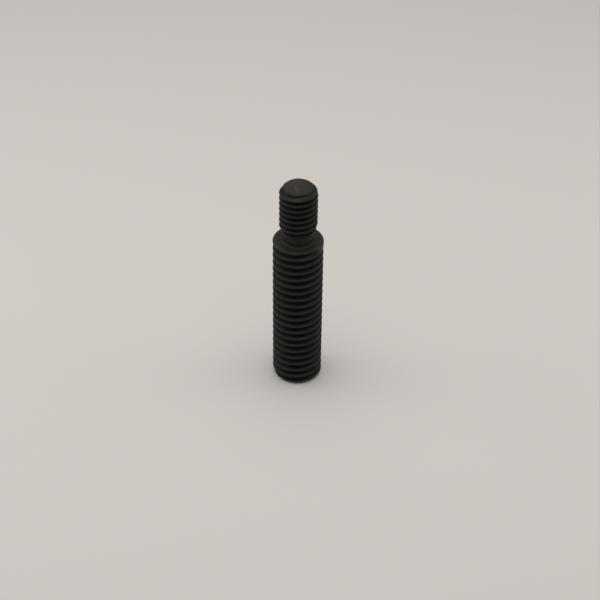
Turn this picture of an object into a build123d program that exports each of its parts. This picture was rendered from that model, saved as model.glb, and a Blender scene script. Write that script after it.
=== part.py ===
from build123d import *
import math
import os

# Stepped double-ended stud, one piece of blackened steel, turned and threaded.
# It stands on its large end. Millimetres, +Z up, origin at the centre of the
# foot face. Below the shoulder the bar carries a 1/2 in - 12 thread over its
# whole length; above it a relieved neck leads into a 3/8 in - 16 thread.
# The two threaded lengths are made here as their major cylinders, with the
# true chamfers, shoulder, neck and run-outs. The helical ridges are surface
# detail of the visual model.

# --- driving dimensions -----------------------------------------------------
inch = 25.4

large_major_d = inch / 2        # major diameter below the shoulder
large_pitch = inch / 12
large_length = 43.05            # foot face to shoulder face
foot_flat_d = 11.2              # flat left inside the foot chamfer
foot_chamfer_height = 1.0
shoulder_edge_break = 0.5       # 45 degree break round the shoulder

small_major_d = inch * 3 / 8    # major diameter above the neck
small_pitch = inch / 16
overall_length = 58.65          # foot face to tip face
tip_flat_d = 7.0                # flat left inside the lead-in chamfer
tip_chamfer_height = 1.25

neck_d = inch * 5 / 16          # relief between the shoulder and the small thread
neck_fillet = 0.5               # corner radius where the neck meets the shoulder
neck_parallel_top = 45.95       # height where the relief starts to open out
runout_angle = 30.0             # from the axis, cone up to the small thread

# --- derived ------------------------------------------------------------------
large_r = large_major_d / 2
small_r = small_major_d / 2
neck_r = neck_d / 2
runout_height = (small_r - neck_r) / math.tan(math.radians(runout_angle))
small_thread_start = neck_parallel_top + runout_height

# --- the stud -----------------------------------------------------------------
with BuildPart() as stepped_stud:
    # Large bar, from the foot to the shoulder.
    with BuildSketch(Plane.XY):
        Circle(large_r)
    extrude(amount=large_length)

    # Small bar, standing on the shoulder.
    with BuildSketch(Plane.XY.offset(large_length)):
        Circle(small_r)
    extrude(amount=overall_length - large_length)

    # Foot: the chamfer that starts the large thread.
    with BuildSketch(Plane.XZ):
        with BuildLine():
            Polyline(
                (foot_flat_d / 2, 0),
                (large_r, foot_chamfer_height),
                (large_r + 1, foot_chamfer_height),
                (large_r + 1, -1),
                (foot_flat_d / 2, -1),
                close=True,
            )
        make_face()
    revolve(axis=Axis.Z, mode=Mode.SUBTRACT)

    # Relief: the parallel neck under the small thread and the cone that opens
    # out of it into the thread.
    with BuildSketch(Plane.XZ):
        with BuildLine():
            Polyline(
                (neck_r, large_length),
                (neck_r, neck_parallel_top),
                (small_r, small_thread_start),
                (small_r + 1, small_thread_start),
                (small_r + 1, large_length),
                close=True,
            )
        make_face()
    revolve(axis=Axis.Z, mode=Mode.SUBTRACT)

    # Corner radius in the root of the neck.
    neck_root = (
        stepped_stud.edges()
        .filter_by(GeomType.CIRCLE)
        .filter_by_position(Axis.Z, large_length - 0.001, large_length + 0.001)
        .sort_by(SortBy.RADIUS)[0]
    )
    fillet(neck_root, neck_fillet)

    # The shoulder's outer edge is broken by a small chamfer.
    shoulder_edge = (
        stepped_stud.edges()
        .filter_by(GeomType.CIRCLE)
        .filter_by_position(Axis.Z, large_length - 0.001, large_length + 0.001)
        .sort_by(SortBy.RADIUS)[-1]
    )
    chamfer(shoulder_edge, shoulder_edge_break)

    # Tip: the lead-in chamfer of the small thread.
    with BuildSketch(Plane.XZ):
        with BuildLine():
            Polyline(
                (tip_flat_d / 2, overall_length),
                (small_r, overall_length - tip_chamfer_height),
                (small_r + 1, overall_length - tip_chamfer_height),
                (small_r + 1, overall_length + 1),
                (tip_flat_d / 2, overall_length + 1),
                close=True,
            )
        make_face()
    revolve(axis=Axis.Z, mode=Mode.SUBTRACT)

stepped_stud.part.label = "stepped_stud"

os.makedirs("parts", exist_ok=True)
export_step(stepped_stud.part, "parts/stepped_stud.step")
print(
    "volume", round(stepped_stud.part.volume, 2),
    "box", stepped_stud.part.bounding_box(),
    "small thread from", round(small_thread_start, 3),
)
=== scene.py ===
import math

import bpy
from mathutils import Matrix, Vector


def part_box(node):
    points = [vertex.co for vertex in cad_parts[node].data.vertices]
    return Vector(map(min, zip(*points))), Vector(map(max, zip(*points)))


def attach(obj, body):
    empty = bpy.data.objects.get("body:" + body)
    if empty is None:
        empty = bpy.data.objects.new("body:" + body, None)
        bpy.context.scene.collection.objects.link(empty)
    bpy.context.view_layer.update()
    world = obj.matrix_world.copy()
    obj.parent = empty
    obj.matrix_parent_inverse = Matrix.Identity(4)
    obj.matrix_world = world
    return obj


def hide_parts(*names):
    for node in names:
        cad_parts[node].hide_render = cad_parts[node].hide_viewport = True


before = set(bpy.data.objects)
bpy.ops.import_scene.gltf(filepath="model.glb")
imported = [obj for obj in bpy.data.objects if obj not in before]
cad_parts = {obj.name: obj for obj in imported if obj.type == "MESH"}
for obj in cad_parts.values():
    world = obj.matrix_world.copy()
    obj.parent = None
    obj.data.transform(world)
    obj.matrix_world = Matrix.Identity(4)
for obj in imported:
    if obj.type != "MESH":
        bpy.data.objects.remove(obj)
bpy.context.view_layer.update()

MM = 0.001
INCH = 25.4

# ---------------------------------------------------------------- dimensions
# Millimetres, as in the part's source.
node_lo, node_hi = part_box("stepped_stud")
FOOT_Z = node_lo[2] / MM
TIP_Z = node_hi[2] / MM

BIG_R, BIG_P = INCH / 4, INCH / 12
FOOT_FLAT_R, FOOT_CH_H = 5.6, 1.0
SHOULDER_Z, EDGE = 43.05, 0.5

SML_R, SML_P = INCH * 3 / 16, INCH / 16
TIP_FLAT_R, TIP_CH_H = 3.5, 1.25
NECK_R, NECK_TOP, NECK_FIL = INCH * 5 / 32, 45.95, 0.5
RUNOUT_TAN = math.tan(math.radians(30))

# Height of one crest of each right-hand helix where it crosses +X.
BIG_CREST_Z = 17.99
SML_CREST_Z = 46.67

# The top groove of the large thread dies out just under the shoulder.
BIG_FADE_Z, BIG_FADE_W = 41.86, 0.35

NT = 132                       # segments round the axis
HALF = [0, .035, .07, .10, .1218, .19, .25, .31, .3782, .40, .43, .465, .5]
US = sorted(HALF + [1 - u for u in HALF[1:-1]])


def ease(x):
    x = min(1.0, max(0.0, x))
    return x * x * (3 - 2 * x)


def groove(u, pitch):
    """Depth below the crest of a 55 degree thread with rounded crest and root."""
    x = abs(u - round(u)) * pitch
    a = math.radians(27.5)
    r = 0.137329 * pitch
    xt, dt = r * math.cos(a), r * (1 - math.sin(a))
    full = 0.640327 * pitch
    if x < xt:
        return r - math.sqrt(max(r * r - x * x, 0))
    if x < pitch / 2 - xt:
        return dt + (x - xt) / math.tan(a)
    y = pitch / 2 - x
    return full - (r - math.sqrt(max(r * r - y * y, 0)))


# ---------------------------------------------------------------- the stud
def make_stud():
    verts, faces, wear, deep = [], [], [], []
    ang = [2 * math.pi * j / NT for j in range(NT)]

    def add(r, t, z, w=0.0, d=0.0):
        verts.append((r * math.cos(t) * MM, r * math.sin(t) * MM, z * MM))
        wear.append(w)
        deep.append(d)
        return len(verts) - 1

    def zone(za, zb, pitch, crest_z, shape):
        """Rows follow the helix, so crest and root lines are true edges of the mesh."""
        m = len(US)
        eps = 0.014
        bot = [add(*shape(t, za)) for t in ang]
        top = [add(*shape(t, zb)) for t in ang]
        first = int(math.floor((za - crest_z) / pitch) - 2) * m
        last = int(math.ceil((zb - crest_z) / pitch) + 2) * m
        made = {}

        def vid(j, i):
            if j == NT:
                j, i = 0, i + m
            z = crest_z + pitch * (i // m + US[i % m] + j / NT)
            if z <= za + eps:
                return bot[j]
            if z >= zb - eps:
                return top[j]
            if (j, i) not in made:
                made[(j, i)] = add(*shape(ang[j], z))
            return made[(j, i)]

        for j in range(NT):
            for i in range(first, last):
                poly = []
                for v in (vid(j, i), vid(j + 1, i), vid(j + 1, i + 1), vid(j, i + 1)):
                    if v not in poly:
                        poly.append(v)
                if len(poly) >= 3:
                    faces.append(tuple(poly))
        return bot, top

    def band(a, b):
        for j in range(NT):
            k = (j + 1) % NT
            faces.append((a[j], a[k], b[k], b[j]))

    def big(t, z):
        u = (z - BIG_CREST_Z) / BIG_P - t / (2 * math.pi)
        centre = BIG_CREST_Z + BIG_P * (math.floor(u) + 0.5 + t / (2 * math.pi))
        d = groove(u, BIG_P) * (1 - ease((centre - BIG_FADE_Z) / BIG_FADE_W))
        r = BIG_R - d
        r = min(r, FOOT_FLAT_R + (z - FOOT_Z) * (BIG_R - FOOT_FLAT_R) / FOOT_CH_H)
        r = min(r, BIG_R - EDGE + max(SHOULDER_Z - z, 0))
        return r, t, z, max(0.0, 1 - d / (0.14 * BIG_P)), ease(d / (0.45 * BIG_P))

    def small(t, z):
        u = (z - SML_CREST_Z) / SML_P - t / (2 * math.pi)
        d = groove(u, SML_P)
        r = SML_R - d
        r = min(r, NECK_R + max(z - NECK_TOP, 0) * RUNOUT_TAN)
        r = min(r, TIP_FLAT_R + (TIP_Z - z) * (SML_R - TIP_FLAT_R) / TIP_CH_H)
        return r, t, z, max(0.0, 1 - d / (0.14 * SML_P)), ease(d / (0.45 * SML_P))

    b0, b1 = zone(FOOT_Z, SHOULDER_Z, BIG_P, BIG_CREST_Z, big)
    s0, s1 = zone(NECK_TOP, TIP_Z, SML_P, SML_CREST_Z, small)

    # Shoulder face, then the fillet in the root of the neck.
    mid = [add(5.2, t, SHOULDER_Z) for t in ang]
    band(b1, mid)
    prev = mid
    for k in range(9):
        a = math.pi / 2 * k / 8
        ring = [
            add(
                NECK_R + NECK_FIL - NECK_FIL * math.sin(a),
                t,
                SHOULDER_Z + NECK_FIL - NECK_FIL * math.cos(a),
            )
            for t in ang
        ]
        band(prev, ring)
        prev = ring
    for z in (44.1, 45.0):
        ring = [add(NECK_R, t, z) for t in ang]
        band(prev, ring)
        prev = ring
    band(prev, s0)

    # Tip face.
    prev = s1
    for r, z in (
        (TIP_FLAT_R - 0.06, TIP_Z),
        (2.2, TIP_Z),
        (1.0, TIP_Z),
    ):
        ring = [add(r, t, z) for t in ang]
        band(prev, ring)
        prev = ring
    c = add(0, 0, TIP_Z)
    for j in range(NT):
        faces.append((prev[j], prev[(j + 1) % NT], c))

    # Foot face.
    prev = b0
    for r in (FOOT_FLAT_R - 0.06, 3.5, 1.2):
        ring = [add(r, t, FOOT_Z) for t in ang]
        band(ring, prev)
        prev = ring
    c = add(0, 0, FOOT_Z)
    for j in range(NT):
        faces.append((prev[(j + 1) % NT], prev[j], c))

    me = bpy.data.meshes.new("stud_body")
    me.from_pydata(verts, [], faces)
    me.update()
    att = me.attributes.new("wear", "FLOAT", "POINT")
    att.data.foreach_set("value", wear)
    att = me.attributes.new("deep", "FLOAT", "POINT")
    att.data.foreach_set("value", deep)
    me.shade_smooth()
    me.set_sharp_from_angle(angle=math.radians(32))
    ob = bpy.data.objects.new("stud_body", me)
    bpy.context.scene.collection.objects.link(ob)
    return ob


# ---------------------------------------------------------------- materials
def node(nt, kind, **props):
    n = nt.nodes.new(kind)
    for k, v in props.items():
        setattr(n, k, v)
    return n


def math_node(nt, op, a, b=None, c=None, clamp=False):
    n = node(nt, "ShaderNodeMath", operation=op, use_clamp=clamp)
    for i, v in enumerate((a, b, c)):
        if v is None:
            continue
        if hasattr(v, "is_output"):
            nt.links.new(v, n.inputs[i])
        else:
            n.inputs[i].default_value = v
    return n.outputs[0]


def noise(nt, vec, scale, detail=3.0, rough=0.55):
    n = node(nt, "ShaderNodeTexNoise")
    n.inputs["Scale"].default_value = scale
    n.inputs["Detail"].default_value = detail
    n.inputs["Roughness"].default_value = rough
    nt.links.new(vec, n.inputs["Vector"])
    return n.outputs["Fac"]


def map_range(nt, value, a, b, c, d, smooth=True):
    n = node(nt, "ShaderNodeMapRange")
    n.interpolation_type = "SMOOTHSTEP" if smooth else "LINEAR"
    nt.links.new(value, n.inputs["Value"])
    n.inputs["From Min"].default_value = a
    n.inputs["From Max"].default_value = b
    n.inputs["To Min"].default_value = c
    n.inputs["To Max"].default_value = d
    return n.outputs["Result"]


def mix_colour(nt, fac, a, b):
    n = node(nt, "ShaderNodeMix", data_type="RGBA")
    nt.links.new(fac, n.inputs["Factor"])
    for sock, v in ((n.inputs[6], a), (n.inputs[7], b)):
        if hasattr(v, "is_output"):
            nt.links.new(v, sock)
        else:
            sock.default_value = (*v, 1)
    return n.outputs[2]


def black_oxide():
    m = bpy.data.materials.new("black_oxide_steel")
    m.use_nodes = True
    nt = m.node_tree
    bsdf = nt.nodes["Principled BSDF"]
    bsdf.inputs["Metallic"].default_value = 0.0
    bsdf.inputs["IOR"].default_value = 1.5
    bsdf.inputs["Specular IOR Level"].default_value = 0.21
    bsdf.inputs["Specular Tint"].default_value = (1.0, 0.97, 0.84, 1)

    obj = node(nt, "ShaderNodeTexCoord").outputs["Object"]
    sep = node(nt, "ShaderNodeSeparateXYZ")
    nt.links.new(obj, sep.inputs[0])
    x, y, z = sep.outputs

    cloud = noise(nt, obj, 160.0, 3.0, 0.6)      # patches some 6 mm across
    mottle = noise(nt, obj, 900.0, 3.0, 0.6)     # about 1 mm
    grain = noise(nt, obj, 5200.0, 2.0, 0.5)     # matt oxide grain

    dark = (0.0052, 0.0054, 0.0050)
    light = (0.0112, 0.0113, 0.0102)
    patch = math_node(nt, "ADD", math_node(nt, "MULTIPLY", cloud, 0.5), math_node(nt, "MULTIPLY", mottle, 0.5))
    base = mix_colour(nt, map_range(nt, patch, 0.38, 0.62, 0.0, 1.0), dark, light)

    # Painted shade darkens the base deeper in the grooves; crests are rubbed a little lighter.
    wear = node(nt, "ShaderNodeAttribute", attribute_name="wear").outputs["Fac"]
    deep = node(nt, "ShaderNodeAttribute", attribute_name="deep").outputs["Fac"]
    # Painted shade in the grooves: the deeper, the darker.
    base = mix_colour(nt, math_node(nt, "MULTIPLY", deep, 0.7), base, (0.0055, 0.0056, 0.0050))
    rub = math_node(nt, "MULTIPLY", wear, map_range(nt, mottle, 0.35, 0.7, 0.1, 0.55))
    base = mix_colour(nt, rub, base, (0.0185, 0.0182, 0.0155))

    # The faced-off end is paler than the threads.
    tip = map_range(nt, z, (TIP_Z - 0.15) * MM, (TIP_Z - 0.01) * MM, 0.0, 1.0)
    tip = math_node(nt, "MULTIPLY", tip, map_range(nt, cloud, 0.3, 0.7, 0.7, 1.0))
    base = mix_colour(nt, tip, base, (0.0180, 0.0171, 0.0134))
    # The shoulder face is a little paler too.
    ring = math_node(nt, "MULTIPLY", map_range(nt, z, (SHOULDER_Z - 0.25) * MM, (SHOULDER_Z - 0.02) * MM, 0.0, 1.0), map_range(nt, z, (SHOULDER_Z + 0.10) * MM, (SHOULDER_Z + 0.35) * MM, 1.0, 0.0))
    base = mix_colour(nt, math_node(nt, "MULTIPLY", ring, 0.75), base, (0.0200, 0.0195, 0.0165))

    # So is the plain neck, which is as rough as the grooves.
    neck = math_node(nt, "MULTIPLY", map_range(nt, z, SHOULDER_Z * MM, (SHOULDER_Z + 0.4) * MM, 0.0, 1.0), map_range(nt, z, (NECK_TOP + 0.2) * MM, (NECK_TOP + 0.7) * MM, 1.0, 0.0))
    base = mix_colour(nt, math_node(nt, "MULTIPLY", neck, 0.8), base, (0.0190, 0.0182, 0.0155))

    # A painted glint near the middle of the end face, and the paler side of the face.
    nx = math_node(nt, "DIVIDE", math_node(nt, "ADD", math_node(nt, "ADD", x, 0.00045), math_node(nt, "MULTIPLY", math_node(nt, "ADD", y, 0.00115), 0.35)), 0.00042)
    ny = math_node(nt, "DIVIDE", math_node(nt, "ADD", y, 0.00115), 0.00120)
    nd = math_node(nt, "SQRT", math_node(nt, "ADD", math_node(nt, "MULTIPLY", nx, nx), math_node(nt, "MULTIPLY", ny, ny)))
    painted_glint = math_node(nt, "MULTIPLY", map_range(nt, nd, 0.2, 1.7, 1.0, 0.0), tip)
    side = math_node(nt, "ADD", math_node(nt, "MULTIPLY", x, -0.8), math_node(nt, "MULTIPLY", y, 0.6))
    side = math_node(nt, "MULTIPLY", map_range(nt, side, -0.003, 0.0032, 0.0, 1.0), tip)
    base = mix_colour(nt, math_node(nt, "MULTIPLY", side, 0.6), base, (0.040, 0.0365, 0.0285))
    # Painted glint: a pale spot near the middle of the end face.
    base = mix_colour(nt, math_node(nt, "MULTIPLY", painted_glint, 0.6), base, (0.058, 0.057, 0.050))
    nt.links.new(base, bsdf.inputs["Base Color"])

    rough = math_node(nt, "ADD", map_range(nt, mottle, 0.3, 0.7, 0.36, 0.48), math_node(nt, "MULTIPLY", deep, 0.16))
    rough = math_node(nt, "ADD", rough, math_node(nt, "MULTIPLY", neck, 0.12))
    nt.links.new(rough, bsdf.inputs["Roughness"])

    # Turning marks on the flat faces and the neck, under the matt grain.
    rad = math_node(nt, "SQRT", math_node(nt, "ADD", math_node(nt, "MULTIPLY", x, x), math_node(nt, "MULTIPLY", y, y)))
    rings = math_node(nt, "SINE", math_node(nt, "MULTIPLY", math_node(nt, "ADD", rad, z), 2 * math.pi / 0.00022))
    height = math_node(nt, "ADD", math_node(nt, "MULTIPLY", rings, 0.18), math_node(nt, "ADD", math_node(nt, "MULTIPLY", grain, 0.7), math_node(nt, "MULTIPLY", mottle, 1.2)))
    bump = node(nt, "ShaderNodeBump")
    bump.inputs["Strength"].default_value = 0.35
    bump.inputs["Distance"].default_value = 0.00003
    nt.links.new(height, bump.inputs["Height"])
    nt.links.new(bump.outputs["Normal"], bsdf.inputs["Normal"])
    return m


stud = make_stud()
stud.data.materials.append(black_oxide())
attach(stud, "root")
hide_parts("stepped_stud")

# ---------------------------------------------------------------- stage
fm = bpy.data.meshes.new("floor")
S = 1.5
FZ = FOOT_Z * MM - 0.00001
fm.from_pydata([(-S, -S, FZ), (S, -S, FZ), (S, S, FZ), (-S, S, FZ)], [], [(0, 1, 2, 3)])
floor = bpy.data.objects.new("floor", fm)
bpy.context.scene.collection.objects.link(floor)
paper = bpy.data.materials.new("warm_grey_paper")
paper.use_nodes = True
pb = paper.node_tree.nodes["Principled BSDF"]
pb.inputs["Base Color"].default_value = (0.62, 0.595, 0.57, 1)
pb.inputs["Roughness"].default_value = 0.95
pb.inputs["Specular IOR Level"].default_value = 0.1
fm.materials.append(paper)

world = bpy.data.worlds.new("studio")
bpy.context.scene.world = world
world.use_nodes = True
bg = world.node_tree.nodes["Background"]
bg.inputs[0].default_value = (1.0, 0.995, 0.985, 1)
bg.inputs[1].default_value = 0.385


def area(name, loc, aim, size, power, colour=(1, 1, 1)):
    L = bpy.data.lights.new(name, "AREA")
    L.shape = "DISK"
    L.size = size
    L.energy = power
    L.color = colour
    o = bpy.data.objects.new(name, L)
    bpy.context.scene.collection.objects.link(o)
    o.location = loc
    o.rotation_euler = (Vector(aim) - Vector(loc)).to_track_quat("-Z", "Y").to_euler()
    return o


area("soft_top", (-0.02, 0.02, 0.42), (0, 0, 0.02), 0.46, 1.15, (1.0, 0.98, 0.95))

area("soft_left", (-0.32, 0.04, 0.14), (0, 0, 0.04), 0.26, 0.23, (1.0, 0.985, 0.96))
area("soft_right", (0.32, 0.04, 0.14), (0, 0, 0.04), 0.26, 0.19, (1.0, 0.985, 0.96))

# ---------------------------------------------------------------- camera
K = 12.7 / 8
e, dist, scale, psi, dth, rho = 0.6782, 247.669, 6.25, 0.0020, 0.0061, 0.0111
D, H, tt, f = dist * math.cos(e) * K, (dist * math.sin(e) + 17) * K - 0.45, e + dth, scale * dist
fw = Vector((math.sin(psi) * math.cos(tt), math.cos(psi) * math.cos(tt), -math.sin(tt)))
rt = Vector((math.cos(psi), -math.sin(psi), 0))
up = rt.cross(fw)
r2 = math.cos(rho) * rt + math.sin(rho) * up
u2 = -math.sin(rho) * rt + math.cos(rho) * up
cam = bpy.data.cameras.new("camera")
cam.sensor_width = 36
cam.sensor_fit = "HORIZONTAL"
cam.lens = f * 36 / 600
cam.clip_start = 0.01
co = bpy.data.objects.new("camera", cam)
bpy.context.scene.collection.objects.link(co)
co.matrix_world = Matrix.Translation((0, -D * MM, H * MM)) @ Matrix(
    ((r2[0], u2[0], -fw[0]), (r2[1], u2[1], -fw[1]), (r2[2], u2[2], -fw[2]))
).to_4x4()
bpy.context.scene.camera = co
bpy.context.scene.view_settings.view_transform = "Standard"
